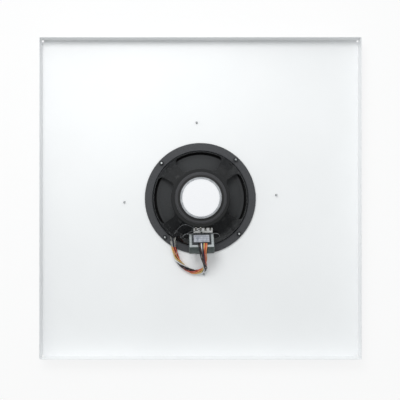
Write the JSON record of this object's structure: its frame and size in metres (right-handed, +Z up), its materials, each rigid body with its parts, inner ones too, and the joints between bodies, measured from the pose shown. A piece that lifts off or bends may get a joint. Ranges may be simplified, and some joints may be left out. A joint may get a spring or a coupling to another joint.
{
  "type": "ceiling tile speaker",
  "caption": "Lay-in ceiling tile loudspeaker: folded white steel pan with a round grille below and a cone driver, ferrite magnet, sloping transformer and coloured lead wires on its back.",
  "frame": {"origin": "centre of the grille's front face, under the middle of the tile", "axes": "+Z up into the plenum along the driver's axis, +X and +Y along the tile's sides, the transformer towards -Y"},
  "size_m": [0.603, 0.603, 0.0802],
  "materials": {
    "tile_paint": "satin",
    "grille_paint": "satin",
    "basket_paint": "satin",
    "zinc": "satin",
    "plate_steel": "satin",
    "ferrite": "matte",
    "label_paper": "matte",
    "gasket_foam": "matte",
    "surround_cloth": "matte",
    "cone_paper": "matte",
    "cap_cloth": "matte",
    "former_foil": "satin",
    "copper": "satin",
    "spider_cloth": "matte",
    "core_steel": "satin",
    "bobbin_nylon": "matte",
    "wrap_tape": "satin",
    "board_fibre": "matte",
    "tinned": "satin",
    "grommet_rubber": "matte",
    "thin_lead_sleeve": "satin",
    "braid_tinsel": "satin",
    "lead_orange": "satin",
    "lead_red": "satin",
    "lead_yellow": "satin",
    "lead_brown": "satin",
    "lead_black": "satin",
    "lead_white": "satin",
    "lead_blue": "satin"
  },
  "bodies": {
    "tile": {"tile_panel": "tile_paint", "front_grille": "grille_paint", "grille_screws": "zinc", "driver_bolts": "zinc", "driver_nuts": "zinc", "gasket": "gasket_foam", "surround": "surround_cloth", "basket": "basket_paint", "spider": "spider_cloth", "top_plate": "plate_steel", "magnet": "ferrite", "yoke": "plate_steel", "label": "label_paper", "transformer_core": "core_steel", "transformer_strap": "zinc", "transformer_bobbin": "bobbin_nylon", "transformer_winding": "copper", "coil_wrap": "wrap_tape", "terminal_board": "board_fibre", "terminal_lugs": "tinned", "lug_eyelets": "tinned", "board_rivet": "zinc", "lead_grommet_first": "grommet_rubber", "lead_grommet_second": "grommet_rubber", "speaker_lead_first": "thin_lead_sleeve", "speaker_lead_second": "thin_lead_sleeve", "cone_braid_first": "braid_tinsel", "cone_braid_second": "braid_tinsel", "lead_orange": "lead_orange", "lead_red": "lead_red", "lead_yellow": "lead_yellow", "lead_brown": "lead_brown", "lead_black": "lead_black", "lead_white": "lead_white", "lead_blue": "lead_blue"},
    "diaphragm": {"cone": "cone_paper", "dust_cap": "cap_cloth", "voice_coil_former": "former_foil", "voice_coil": "copper"}
  },
  "joints": [
    {"name": "cone_travel", "type": "slide", "parent": "tile", "child": "diaphragm", "axis": [0, 0, 1], "range_m": [-0.003, 0.003], "stiffness_N_per_m": 2000, "deforming": ["surround", "spider", "cone_braid_first", "cone_braid_second"]}
  ]
}
